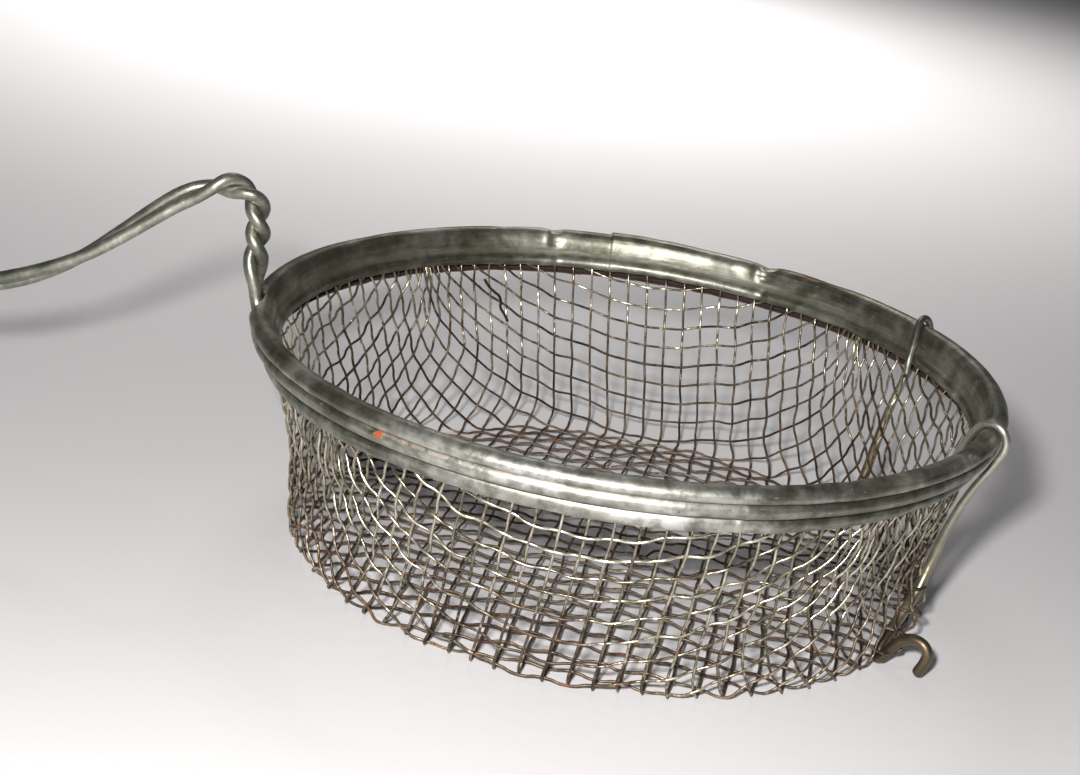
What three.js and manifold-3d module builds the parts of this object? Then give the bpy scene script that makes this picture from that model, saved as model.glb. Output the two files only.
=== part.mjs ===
// Round fry and drain basket of woven wire cloth.
//
// A square-mesh wire cloth is pressed into a flat-bottomed pan.  Two rolled tin
// strips clamp its top edge: the inner one rolls over the edge as the top bead,
// the outer one closes over the hoop wire as the middle rib and ends in a skirt.
// The hoop wire leaves the rim at one side as two strands, twisted together,
// bent over and run out as the handle.  Two hooks stand opposite the handle.
//
// Frame: millimetres, +Z up, origin at the centre of the underside of the floor.
// The handle runs towards -X, the hooks stand either side of +X.

import * as THREE from "three";
import { mergeVertices } from "three/addons/utils/BufferGeometryUtils.js";
import Module from "manifold-3d";

// ---------------------------------------------------------------- dimensions
// Angles are in degrees.  "Radius" is the distance from the basket's axis.
const RING_STEPS = 64; // facets round the ring pieces
const WIRE_SIDES = 8; // facets round every wire

// Heights are drawn from a level this far above the underside of the floor, and
// the whole basket is raised by as much at the end.
const FLOOR_DROP = 1.5;
const FLOOR_R = 90.4; // outer radius of the pan where the floor turns up
const CORNER_R = 2.6; // outer radius of that turn
const CORNER_TURN = 80;
const CORNER_STEPS = 4;
const CLOTH_T = 1.1; // thickness of the woven cloth over two crossing wires
// Middle of the cloth up the wall: [radius, height].
const WALL = [
  [90.3, 5.0],
  [93.4, 25.5],
  [96.4, 41.5],
];

const RIM_FOOT = [98.6, 50.0]; // middle of the cloth at the skirt: [radius, height]
const RIM_LEAN = 20; // lean of the rim outwards
const CLOTH_IN_RIM = 12.0; // how far the cloth reaches up inside the rim
const TIN_T = 0.5; // thickness of the rolled tin strips

const WIRE_D = 3.6; // hoop and handle wire
const HOOP_IN_RIM = [7.9, 2.6]; // centre of the hoop wire in the rim section
const HOOP_CLEARANCE = 0.27; // between the hoop wire and the tin round it
const HOOP_JOINT_ANGLE = 0.35; // half the gap in the hoop at +X
const HOOP_ROOT_ANGLE = 5.4; // the hoop stops short of -X by at least this
const STRAND_GAP = 0.3; // gap between the two handle strands

// Cuts through the tin at -X, where the strands rise.
const CUT_END_R = 120; // clear of the rim
const CUT_TOP_Z = 80;
const RIB_OPENING = { startR: 90, halfWidth: 9.5, bottomZ: 56.3 };
const BEAD_NOTCH = { startR: 102.55, halfWidth: 6.2, bottomZ: 40 };

const GRIP_START = [205, 54.8]; // where the strands part: [radius, height]
const GRIP_FULL = [234, 54.6]; // where the grip reaches its full width
const GRIP_END_R = 291; // where the end bend starts
const GRIP_HALF_WIDTH = 10; // to the middle of the wire
const GRIP_BEND_STEPS = 10;

const HOOK_ANGLE = 25.6; // hooks either side of +X
const HOOK_THIN_D = 2.2; // hook wire over the rim
const HOOK_THICK_D = 3.0; // hook wire at the foot
const HOOK_STEPS = 72;

// ------------------------------------------------------------------ helpers
const rad = (degrees) => (degrees * Math.PI) / 180;
const V3 = (x, y, z) => new THREE.Vector3(x, y, z);
const smoothCurve = (points) => new THREE.CatmullRomCurve3(points);
const lerp = (start, end, share) => start + (end - start) * share;

const wasm = await Module();
wasm.setup();

// The same mesh with only its positions, and its shared corners merged.
function welded(geometry) {
  const bare = geometry.clone();
  bare.deleteAttribute("normal");
  bare.deleteAttribute("uv");
  return mergeVertices(bare, 1e-4);
}

// A solid from a closed mesh, turned right side out if it faces inwards.
function solidOf(geometry) {
  const mesh = welded(geometry);
  const build = (triangles) =>
    new wasm.Manifold(
      new wasm.Mesh({
        numProp: 3,
        vertProperties: new Float32Array(mesh.attributes.position.array),
        triVerts: new Uint32Array(triangles),
      }),
    );
  const solid = build(mesh.index.array);
  if (solid.volume() > 0) return solid;
  const flipped = Array.from(mesh.index.array);
  for (let i = 0; i < flipped.length; i += 3) {
    [flipped[i + 1], flipped[i + 2]] = [flipped[i + 2], flipped[i + 1]];
  }
  return build(flipped);
}

function geometryOf(solid) {
  const mesh = solid.getMesh();
  const stride = mesh.numProp;
  const positions = new Float32Array(mesh.numVert * 3);
  for (let i = 0; i < mesh.numVert; i++) {
    positions.set(mesh.vertProperties.subarray(i * stride, i * stride + 3), i * 3);
  }
  const geometry = new THREE.BufferGeometry();
  geometry.setAttribute("position", new THREE.BufferAttribute(positions, 3));
  geometry.setIndex(new THREE.BufferAttribute(new Uint32Array(mesh.triVerts), 1));
  geometry.computeVertexNormals();
  return geometry;
}

// The closed outline of a strip of even thickness about a middle line: along
// the left side, then back along the right.
function stripOutline(middle, thickness) {
  const left = [];
  const right = [];
  middle.forEach(([x, y], i) => {
    const before = middle[Math.max(i - 1, 0)];
    const after = middle[Math.min(i + 1, middle.length - 1)];
    const alongX = after[0] - before[0];
    const alongY = after[1] - before[1];
    const length = Math.hypot(alongX, alongY);
    const offsetX = (-alongY / length) * (thickness / 2);
    const offsetY = (alongX / length) * (thickness / 2);
    left.push([x + offsetX, y + offsetY]);
    right.push([x - offsetX, y - offsetY]);
  });
  return [...left, ...right.reverse()];
}

// A solid turned about Z from [radius, height] points.
function turned(outline) {
  const profile = outline.map(([radius, height]) => new THREE.Vector2(radius, height));
  const geometry = new THREE.LatheGeometry(profile, RING_STEPS);
  geometry.rotateX(Math.PI / 2);
  return solidOf(geometry);
}

// Rim section coordinates [up, out] to [radius, height]: up along the leaning
// wall, and outwards from the middle of the cloth.
function rim([up, out]) {
  const lean = rad(RIM_LEAN);
  return [
    RIM_FOOT[0] + up * Math.sin(lean) + out * Math.cos(lean),
    RIM_FOOT[1] + up * Math.cos(lean) - out * Math.sin(lean),
  ];
}

// A path that is sampled at its own points, so the points can be close together
// in the twist and far apart round the hoop.
class PointPath extends THREE.Curve {
  constructor(points) {
    super();
    this.points = points;
  }
  getPointAt(share, target = V3(0, 0, 0)) {
    const place = share * (this.points.length - 1);
    const i = Math.min(Math.floor(place + 1e-9), this.points.length - 2);
    return target.copy(this.points[i]).lerp(this.points[i + 1], place - i);
  }
  getTangentAt(share, target = V3(0, 0, 0)) {
    const last = this.points.length - 1;
    const i = Math.round(share * last);
    return target
      .copy(this.points[Math.min(i + 1, last)])
      .sub(this.points[Math.max(i - 1, 0)])
      .normalize();
  }
}

// A round wire along a list of points.
function wire(points, diameter) {
  const section = [];
  for (let i = 0; i < WIRE_SIDES; i++) {
    const angle = ((i + 0.5) / WIRE_SIDES) * 2 * Math.PI;
    section.push(
      new THREE.Vector2((Math.cos(angle) * diameter) / 2, (Math.sin(angle) * diameter) / 2),
    );
  }
  const shape = new THREE.Shape(section);
  shape.closePath();
  return new THREE.ExtrudeGeometry(shape, {
    steps: points.length - 1,
    extrudePath: new PointPath(points),
    bevelEnabled: false,
    curveSegments: 1,
  });
}

// Smooth interpolation between [place, value] keys without overshoot: a cubic
// through the keys, level wherever the values turn back.
function keyed(keys) {
  const last = keys.length - 1;
  const gaps = [];
  const rises = [];
  for (let i = 0; i < last; i++) {
    gaps.push(keys[i + 1][0] - keys[i][0]);
    rises.push((keys[i + 1][1] - keys[i][1]) / gaps[i]);
  }
  const slopes = [rises[0]];
  for (let i = 1; i < last; i++) {
    const weightBefore = 2 * gaps[i] + gaps[i - 1];
    const weightAfter = gaps[i] + 2 * gaps[i - 1];
    slopes.push(
      rises[i - 1] * rises[i] <= 0
        ? 0
        : (3 * (gaps[i - 1] + gaps[i])) /
            (weightBefore / rises[i - 1] + weightAfter / rises[i]),
    );
  }
  slopes.push(rises[last - 1]);
  return (place) => {
    if (place <= keys[0][0]) return keys[0][1];
    if (place >= keys[last][0]) return keys[last][1];
    let i = 0;
    while (place > keys[i + 1][0]) i++;
    const t = (place - keys[i][0]) / gaps[i];
    const t2 = t * t;
    const t3 = t2 * t;
    return (
      (2 * t3 - 3 * t2 + 1) * keys[i][1] +
      (t3 - 2 * t2 + t) * gaps[i] * slopes[i] +
      (-2 * t3 + 3 * t2) * keys[i + 1][1] +
      (t3 - t2) * gaps[i] * slopes[i + 1]
    );
  };
}

function nearestIndex(points, target) {
  let nearest = 0;
  let least = Infinity;
  points.forEach((point, i) => {
    const distance = point.distanceTo(target);
    if (distance < least) {
      least = distance;
      nearest = i;
    }
  });
  return nearest;
}

const metal = ({ color, roughness, metalness = 0.9 }) =>
  new THREE.MeshStandardMaterial({ color, roughness, metalness });
const clothMetal = () => metal({ color: 0x6b5f52, roughness: 0.55, metalness: 0.8 });
const tin = (color) => metal({ color, roughness: 0.42 });
const handleMetal = () => metal({ color: 0x84877a, roughness: 0.45 });
const hookMetal = () => metal({ color: 0x8d8a6e, roughness: 0.4 });

const basket = new THREE.Group();
function add(name, solid, material) {
  const mesh = new THREE.Mesh(geometryOf(solid), material);
  mesh.name = name;
  basket.add(mesh);
  return mesh;
}

// ---------------------------------------------------- wire cloth, as a shell
function clothBasket() {
  const cornerR = CORNER_R - CLOTH_T / 2; // to the middle of the cloth
  const middle = [[0, CLOTH_T / 2 - FLOOR_DROP]];
  for (let i = 0; i <= CORNER_STEPS; i++) {
    const angle = rad(-90 + (i / CORNER_STEPS) * CORNER_TURN);
    middle.push([
      FLOOR_R - CORNER_R + cornerR * Math.cos(angle),
      CORNER_R - FLOOR_DROP + cornerR * Math.sin(angle),
    ]);
  }
  middle.push(...WALL, rim([0, 0]), rim([CLOTH_IN_RIM, 0]));

  // The floor is level, and the outline starts and ends on the axis.
  const outline = stripOutline(middle, CLOTH_T);
  const last = outline.length - 1;
  outline[0] = [0, CLOTH_T - FLOOR_DROP];
  outline[1][1] = CLOTH_T - FLOOR_DROP;
  outline[last - 1][1] = -FLOOR_DROP;
  outline[last] = [0, -FLOOR_DROP];
  return turned(outline);
}

// ------------------------------------------------------------ rim strips
// Middle line of the inner strip in the rim section, lower edge first: [up, out].
const INNER_BAND = [
  [2.6, -1.25], [3.6, -1.85], [5.0, -1.7], [6.7, -1.12], [8.6, -1.2],
  [10.6, -1.35], [12.4, -1.2], [14.0, -0.45], [15.05, 1.05], [14.6, 2.75],
  [13.2, 3.75], [11.9, 3.8], [10.95, 3.3],
];
const INNER_BAND_STEPS = 17;

// Middle line of the outer strip, upper edge first, above and below its arc
// round the hoop wire: [up, out].
const OUTER_BAND_ABOVE = [[11.6, 1.35], [10.6, 2.25]];
const OUTER_BAND_BELOW = [
  [5.2, 2.45], [4.5, 2.2], [3.6, 2.75], [2.4, 3.2], [1.1, 2.95], [0.0, 1.9],
];
const HOOP_ARC = { start: 28, end: 152, step: 24.8 }; // angles from straight up

// A closed ring of tin about a middle line of [radius, height] points.
function tinRing(middle) {
  const outline = stripOutline(middle, TIN_T);
  return turned([...outline, outline[0]]);
}

// A block across the rim at -X, to be cut away.
function rimCut({ startR, halfWidth, bottomZ }) {
  const block = new THREE.BoxGeometry(
    CUT_END_R - startR,
    2 * halfWidth,
    CUT_TOP_Z - bottomZ,
  );
  block.translate(-(CUT_END_R + startR) / 2, 0, (bottomZ + CUT_TOP_Z) / 2);
  return solidOf(block);
}

// The notch goes through the outer half of the bead.
function innerRimBand() {
  const middle = smoothCurve(INNER_BAND.map(([up, out]) => V3(up, out, 0)))
    .getSpacedPoints(INNER_BAND_STEPS)
    .map(({ x, y }) => rim([x, y]));
  return tinRing(middle).subtract(rimCut(BEAD_NOTCH));
}

// The upper half of the middle rib is open at the root of the handle.
function outerRimBand() {
  const arcR = WIRE_D / 2 + HOOP_CLEARANCE + TIN_T / 2;
  const arc = [];
  for (let angle = HOOP_ARC.start; angle <= HOOP_ARC.end; angle += HOOP_ARC.step) {
    arc.push([
      HOOP_IN_RIM[0] + arcR * Math.cos(rad(angle)),
      HOOP_IN_RIM[1] + arcR * Math.sin(rad(angle)),
    ]);
  }
  const middle = [...OUTER_BAND_ABOVE, ...arc, ...OUTER_BAND_BELOW].map(rim);
  return tinRing(middle).subtract(rimCut(RIB_OPENING));
}

// ----------------------------------------------- hoop and handle, one wire
// Middle line between the handle strands, root first: [radius, height].
const TWIST_CLOSE_END = [129.5, 87.8]; // the strands are sampled closely up to here
const HANDLE_LINE = [
  [106.2, 64.0], [106.8, 69.0], [107.0, 75.0], [107.0, 81.0], [107.3, 86.5],
  [108.3, 90.4], [111.2, 93.0], [115.0, 93.7], [119.0, 93.0], [123.5, 91.2],
  TWIST_CLOSE_END, [136.4, 82.6], [144.5, 76.1], [154.6, 68.7], [165.7, 62.7],
  [176.8, 58.6], [190.0, 55.8], GRIP_START, [230.0, 54.6], [GRIP_END_R, 54.8],
];

// Turn of the +Y strand about the middle line: [radius, height, turn].  90 is
// the +Y side, 0 the outside of the bend, so a falling turn is a left-hand twist.
const ROOT_TURN = 90;
const GRIP_TURN = -630;
const TWIST = [
  [105.8, 65.5, 88], [106.7, 73.5, 0], [107.0, 81.3, -180],
  [107.5, 88.7, -360], [110.2, 92.4, -450], [115.5, 93.7, -540],
  [120.5, 92.6, -630], [127.4, 89.0, -672], [143.2, 77.1, -648],
  [176.8, 58.6, -587], [200, 55.0, GRIP_TURN],
];

// The +Y strand turning up from the hoop into the handle: [x, y, z].
const ROOT_RISE = [
  [-103.5, 8.3, 56.7], [-104.0, 5.1, 57.4], [-104.65, 3.1, 59.0], [-105.5, 2.15, 61.5],
];
const RISE_STEPS = 12;
const RISE_CLEARANCE = 0.4; // the rise stops this far below the strand's start

// Steps along the handle.
const CLOSE_STEP = 1.35;
const OPEN_STEP = 4.5;
const PARTING_STEP = 4;
const PARTING_LEAD = 3; // the parting step starts this far before the grip
const GRIP_STEPS = 2;
const SEARCH_STEPS = 2000; // for finding places along the middle line

const handleLine = smoothCurve(HANDLE_LINE.map(([radius, z]) => V3(-radius, 0, z)));
const handleLength = handleLine.getLength();
const handleSamples = handleLine.getSpacedPoints(SEARCH_STEPS);

// Distance along the middle line of the point nearest to [radius, height].
const along = ([radius, z]) =>
  (nearestIndex(handleSamples, V3(-radius, 0, z)) / SEARCH_STEPS) * handleLength;

const gripStart = along(GRIP_START);
const gripFull = along(GRIP_FULL);
const strandHalfGap = (WIRE_D + STRAND_GAP) / 2;

const twistAt = keyed([
  [0, ROOT_TURN],
  ...TWIST.map(([radius, z, turn]) => [along([radius, z]), turn]),
  [handleLength, GRIP_TURN],
]);
const halfGapAt = keyed([
  [0, strandHalfGap],
  [gripStart, strandHalfGap],
  [gripFull, GRIP_HALF_WIDTH],
  [handleLength, GRIP_HALF_WIDTH],
]);

function strandPoint(distance, turn) {
  const share = Math.min(distance / handleLength, 1);
  const tangent = handleLine.getTangentAt(share);
  const outside = V3(tangent.z, 0, -tangent.x); // outside of the bend
  const angle = rad(twistAt(distance) + turn);
  const halfGap = halfGapAt(distance);
  return handleLine
    .getPointAt(share)
    .addScaledVector(outside, halfGap * Math.cos(angle))
    .addScaledVector(V3(0, 1, 0), halfGap * Math.sin(angle));
}

// Distances along the handle, close together where the strands are twisted.
function handleStations() {
  const closeEnd = along(TWIST_CLOSE_END);
  const openEnd = along([GRIP_START[0] - PARTING_LEAD, GRIP_START[1]]);
  const stations = [];
  const fill = (start, end, step) => {
    for (let distance = start; distance < end; distance += step) stations.push(distance);
  };
  fill(0, closeEnd, CLOSE_STEP);
  fill(closeEnd, openEnd, OPEN_STEP);
  fill(openEnd, gripFull, PARTING_STEP);
  for (let i = 0; i <= GRIP_STEPS; i++) {
    stations.push(lerp(gripFull, handleLength, i / GRIP_STEPS));
  }
  return stations;
}

// The +Y half of the hoop, from the butt joint at +X to the root of the handle.
function hoopHalf() {
  const [radius, z] = rim(HOOP_IN_RIM);
  const step = 360 / RING_STEPS;
  const angles = [HOOP_JOINT_ANGLE];
  for (let angle = step; angle < 180 - HOOP_ROOT_ANGLE; angle += step) angles.push(angle);
  return angles.map((angle) =>
    V3(radius * Math.cos(rad(angle)), radius * Math.sin(rad(angle)), z),
  );
}

// The turn upwards, from the end of the hoop to just below the strand's start.
function rootRise(hoopEnd) {
  const strandStart = strandPoint(0, 0);
  return smoothCurve([
    hoopEnd,
    ...ROOT_RISE.map(([x, y, z]) => V3(x, y, z)),
    strandStart,
    strandPoint(2.5, 0), // a little further on, to lead the curve into the strand
  ])
    .getSpacedPoints(RISE_STEPS)
    .slice(1, -1)
    .filter((point) => point.z < strandStart.z - RISE_CLEARANCE);
}

// The half circle that joins the strands at the end of the grip.
function gripBend(z) {
  const bend = [];
  for (let i = 1; i < GRIP_BEND_STEPS; i++) {
    const angle = rad(90 + (180 * i) / GRIP_BEND_STEPS);
    bend.push(
      V3(
        -GRIP_END_R + GRIP_HALF_WIDTH * Math.cos(angle),
        GRIP_HALF_WIDTH * Math.sin(angle),
        z,
      ),
    );
  }
  return bend;
}

function handleAndHoop() {
  const hoop = hoopHalf();
  const root = [...hoop, ...rootRise(hoop.at(-1))];
  const mirroredRoot = root.map(({ x, y, z }) => V3(x, -y, z)).reverse();
  const stations = handleStations();
  const outward = stations.map((distance) => strandPoint(distance, 0));
  const back = stations.map((distance) => strandPoint(distance, 180)).reverse();
  const bend = gripBend(outward.at(-1).z);
  return solidOf(wire([...root, ...outward, ...bend, ...back, ...mirroredRoot], WIRE_D));
}

// ---------------------------------------------------------------- hooks
// Middle line of a hook, inner end first: [radius, height].
const HOOK_TOP = [
  [95.9, 50.6], [96.1, 54.0], [97.4, 57.2], [98.6, 60.2], [99.6, 63.3],
  [101.5, 65.6], [104.5, 66.3], [107.2, 65.1], [108.8, 62.2], [108.9, 59.0],
  [108.0, 56.0], [106.5, 52.8], [104.6, 49.4], [102.3, 44.6], [98.9, 34.0],
  [96.3, 23.0],
];
const HOOK_FOOT = [
  [94.9, 14.5], [93.9, 9.6], [93.2, 5.6], [92.8, 2.4], [93.0, 0.4],
  [94.3, 0.9], [95.8, 3.6], [98.2, 7.2], [101.3, 9.1], [104.5, 8.8],
  [106.2, 6.9], [106.0, 4.4], [104.6, 0.5],
];
// Turn about the axis of each point of the near hook's foot, which is bent away
// to one side, towards the handle.
const NEAR_FOOT_TURNS = [
  -2.0, -5.6, -9.0, -11.6, -12.8, -13.0, -12.7, -12.5, -12.5, -12.5, -12.5,
  -12.5, -12.5,
];

// Wire diameter by share of the hook's length.
const hookDiameterAt = keyed([
  [0, HOOK_THIN_D],
  [0.28, HOOK_THIN_D],
  [0.62, HOOK_THICK_D],
  [1, HOOK_THICK_D],
]);

function addHook(name, angle, footTurns = []) {
  const points = smoothCurve([
    ...HOOK_TOP.map(([radius, z]) => V3(radius, 0, z)),
    ...HOOK_FOOT.map(([radius, z], i) => {
      const turn = rad(footTurns[i] ?? 0);
      return V3(radius * Math.cos(turn), radius * Math.sin(turn), z);
    }),
  ]).getSpacedPoints(HOOK_STEPS);

  // Each corner of a wire of diameter 1 moves out from its nearest point on the
  // middle line, to the diameter there.
  const geometry = welded(wire(points, 1));
  const positions = geometry.attributes.position;
  const corner = V3(0, 0, 0);
  for (let i = 0; i < positions.count; i++) {
    corner.fromBufferAttribute(positions, i);
    const nearest = nearestIndex(points, corner);
    corner
      .sub(points[nearest])
      .multiplyScalar(hookDiameterAt(nearest / HOOK_STEPS))
      .add(points[nearest]);
    positions.setXYZ(i, corner.x, corner.y, corner.z);
  }
  add(name, solidOf(geometry), hookMetal()).rotation.z = rad(angle);
}

// ------------------------------------------------------------- the basket
add("wire_cloth_basket", clothBasket(), clothMetal());
add("inner_rim_band", innerRimBand(), tin(0x8b8d78));
add("outer_rim_band", outerRimBand(), tin(0x9a9c86));
add("handle_and_hoop_wire", handleAndHoop(), handleMetal());
addHook("near_drain_hook", -HOOK_ANGLE, NEAR_FOOT_TURNS);
addHook("far_drain_hook", HOOK_ANGLE);

basket.position.z = FLOOR_DROP;

export default basket;
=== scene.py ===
import math

import bpy
import numpy as np
from mathutils import Matrix, Vector


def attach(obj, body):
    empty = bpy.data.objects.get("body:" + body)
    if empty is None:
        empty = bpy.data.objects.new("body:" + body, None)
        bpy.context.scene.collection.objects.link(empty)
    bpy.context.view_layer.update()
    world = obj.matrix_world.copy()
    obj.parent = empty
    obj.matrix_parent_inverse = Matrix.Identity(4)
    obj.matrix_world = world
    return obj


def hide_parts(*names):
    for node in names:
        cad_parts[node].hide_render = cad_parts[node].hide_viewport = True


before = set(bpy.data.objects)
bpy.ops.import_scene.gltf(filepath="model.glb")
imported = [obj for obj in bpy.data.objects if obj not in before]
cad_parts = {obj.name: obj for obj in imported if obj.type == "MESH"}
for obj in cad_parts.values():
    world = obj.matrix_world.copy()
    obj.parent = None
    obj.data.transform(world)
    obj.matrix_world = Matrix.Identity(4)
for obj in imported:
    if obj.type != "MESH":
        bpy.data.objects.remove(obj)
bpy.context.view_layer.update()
RNG = np.random.default_rng(4127)
MM = 0.001

# ------------------------------------------------------------- dimensions
PITCH = 6.35  # of the cloth's mesh
CLOTH_D = 0.78  # cloth wire
RAISE = 1.5  # heights below are drawn from 1.5 mm above the floor's underside
RIM_FOOT = np.array([98.6, 50.0])  # radius and height where the leaning rim starts
LEAN = math.radians(20.0)
RIM_R = 106.0  # radius used for the rim's texture
RIM_ARC_R = 104.0  # radius used for distances round the rim
RIM_TOP = 64.0 + RAISE
WIRE_D = 3.6  # hoop and handle wire
HOOP_UP, HOOP_OUT = 9.4, 2.6  # hoop's middle in the rim's section
TIN_T = 0.38
GRID_TURN = math.radians(-12.3)
WALL_TWIST = math.tan(math.radians(7.5)) / 93.0  # turn per mm up the wall
HOOK_ANGLE = 25.6  # degrees each side of +X


def rim(up, out):
    """Radius and height of a point up along the leaning rim and out from it."""
    up = np.asarray(up, float)
    out = np.asarray(out, float)
    return np.stack(
        [
            RIM_FOOT[0] + up * math.sin(LEAN) + out * math.cos(LEAN),
            RIM_FOOT[1] + up * math.cos(LEAN) - out * math.sin(LEAN),
        ],
        -1,
    )


# ------------------------------------------------------------- small tools
def arc_length(points):
    """Distance along a line of points at each of them."""
    return np.concatenate([[0], np.cumsum(np.linalg.norm(np.diff(points, axis=0), axis=1))])


def columns_at(at, known, table):
    """Each column of table, known at the given places, interpolated at others."""
    return np.stack([np.interp(at, known, column) for column in table.T], -1)


def cylindrical(radius, angle, z):
    parts = np.broadcast_arrays(radius * np.cos(angle), radius * np.sin(angle), z)
    return np.stack(parts, -1)


def unit_rows(vectors):
    return vectors / (np.linalg.norm(vectors, axis=1)[:, None] + 1e-12)


def angle_from(angle, degrees):
    """Signed turn to angle (radians) from a direction in degrees."""
    return np.angle(np.exp(1j * (angle - np.radians(degrees))))


def arc_from(angle, degrees):
    """The same turn as a distance round the rim."""
    return angle_from(angle, degrees) * RIM_ARC_R


def bell(x, width):
    return np.exp(-((x / width) ** 2))


def smoothstep(start, end, x):
    part = np.clip((np.asarray(x, float) - start) / (end - start), 0, 1)
    return part * part * (3 - 2 * part)


# Knots blended at each level of the Catmull-Rom pyramid.
PYRAMID = [[(0, 1), (1, 2), (2, 3)], [(0, 2), (1, 3)], [(1, 2)]]


def catmull(points, count):
    """count points evenly along a centripetal Catmull-Rom curve through points."""
    points = np.asarray(points, float)
    knots = np.vstack([2 * points[0] - points[1], points, 2 * points[-1] - points[-2]])
    pieces = []
    for i in range(1, len(knots) - 2):
        level = knots[i - 1 : i + 3]
        gaps = np.maximum(np.linalg.norm(np.diff(level, axis=0), axis=1), 1e-9) ** 0.5
        time = np.concatenate([[0], np.cumsum(gaps)])
        now = np.linspace(time[1], time[2], 24, endpoint=False)[:, None]
        for spans in PYRAMID:
            level = [
                (time[b] - now) / (time[b] - time[a]) * before
                + (now - time[a]) / (time[b] - time[a]) * after
                for (a, b), before, after in zip(spans, level, level[1:])
            ]
        pieces.append(level[0])
    pieces.append(knots[-2][None])
    curve = np.vstack(pieces)
    arc = arc_length(curve)
    return columns_at(np.linspace(0, arc[-1], count), arc, curve)


def smooth_keys(keys):
    """Smooth interpolation between (place, value) keys without overshoot."""
    place, value = np.array(keys, float).T
    width = np.diff(place)
    rate = np.diff(value) / width
    slope = np.zeros(len(place))
    slope[0], slope[-1] = rate[0], rate[-1]
    for i in range(1, len(place) - 1):
        if rate[i - 1] * rate[i] > 0:
            before, after = width[i - 1], width[i]
            slope[i] = (
                3
                * (before + after)
                / ((2 * after + before) / rate[i - 1] + (after + 2 * before) / rate[i])
            )

    def value_at(x):
        x = np.clip(np.asarray(x, float), place[0], place[-1])
        i = np.clip(np.searchsorted(place, x, side="right") - 1, 0, len(width) - 1)
        t = (x - place[i]) / width[i]
        return (
            (2 * t**3 - 3 * t**2 + 1) * value[i]
            + (t**3 - 2 * t**2 + t) * width[i] * slope[i]
            + (-2 * t**3 + 3 * t**2) * value[i + 1]
            + (t**3 - t**2) * width[i] * slope[i + 1]
        )

    return value_at


def waves(count, lowest, highest, rng):
    """A smooth periodic random function of an angle, about -1 to 1."""
    cycles = rng.integers(lowest, highest + 1, count)
    height = rng.normal(size=count) / np.sqrt(count / 2)
    phase = rng.uniform(0, 2 * math.pi, count)

    def value_at(angle):
        angle = np.asarray(angle, float)[..., None]
        return (height * np.sin(cycles * angle + phase)).sum(-1) * 0.6

    return value_at


def field3(count, scale, rng):
    """A smooth random function of a point in millimetres, about -1 to 1."""
    wave = unit_rows(rng.normal(size=(count, 3))) * (2 * math.pi / scale)
    wave *= rng.uniform(0.6, 1.4, (count, 1))
    phase = rng.uniform(0, 2 * math.pi, count)

    def value_at(points):
        return np.sin(points @ wave.T + phase).sum(-1) / np.sqrt(count) * 0.9

    return value_at


# ------------------------------------------------------------- meshes
def mesh_object(name, verts, quads, attributes=None, ends=()):
    """A mesh from millimetre vertices, (n, 4) quads and a list of end faces."""
    mesh = bpy.data.meshes.new(name)
    verts = (np.asarray(verts, np.float32) + np.array([0, 0, RAISE])) * MM
    quads = np.asarray(quads, np.int32).reshape(-1, 4)
    loops = np.concatenate([quads.ravel(), *ends]).astype(np.int32)
    sizes = np.array([4] * len(quads) + [len(end) for end in ends], np.int32)
    starts = np.concatenate([[0], np.cumsum(sizes)[:-1]]).astype(np.int32)
    mesh.vertices.add(len(verts))
    mesh.vertices.foreach_set("co", verts.ravel())
    mesh.loops.add(len(loops))
    mesh.loops.foreach_set("vertex_index", loops)
    mesh.polygons.add(len(sizes))
    mesh.polygons.foreach_set("loop_start", starts)
    mesh.polygons.foreach_set("loop_total", sizes)
    mesh.polygons.foreach_set("use_smooth", np.ones(len(sizes), bool))
    mesh.update(calc_edges=True)
    mesh.validate()
    for key, value in (attributes or {}).items():
        attribute = mesh.attributes.new(key, "FLOAT", "POINT")
        attribute.data.foreach_set("value", np.ascontiguousarray(value, np.float32))
    ob = bpy.data.objects.new(name, mesh)
    bpy.context.scene.collection.objects.link(ob)
    return ob


def joined_object(name, pieces):
    """One mesh object from (vertices, quads, ends, attributes) pieces."""
    verts, quads, ends, attributes = zip(*pieces)
    starts = np.cumsum([0] + [len(part) for part in verts])[:-1]
    return mesh_object(
        name,
        np.vstack(verts),
        np.vstack([part + start for part, start in zip(quads, starts)]),
        {key: np.concatenate([part[key] for part in attributes]) for key in attributes[0]},
        [end + start for pair, start in zip(ends, starts) for end in pair],
    )


def ring_quads(rings, sides, closed=False):
    """Quads between successive rings of vertices; closed joins the last to the first."""
    row = np.arange(rings if closed else rings - 1)[:, None] * sides
    next_row = (row + sides) % (rings * sides)
    side = np.arange(sides)[None]
    next_side = (side + 1) % sides
    corners = [row + side, row + next_side, next_row + next_side, next_row + side]
    return np.stack(corners, -1).reshape(-1, 4)


def carried_normals(tangents, hint):
    """Normals carried along a line without twisting."""
    normals = np.zeros_like(tangents)
    normal = np.asarray(hint, float)
    for i, tangent in enumerate(tangents):
        normal = normal - tangent * (normal @ tangent)
        normal /= np.linalg.norm(normal)
        normals[i] = normal
    return normals


CHAMFER_LENGTH, CHAMFER_SIZE = 0.35, 0.72  # of a wire's radius, at its ends


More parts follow.
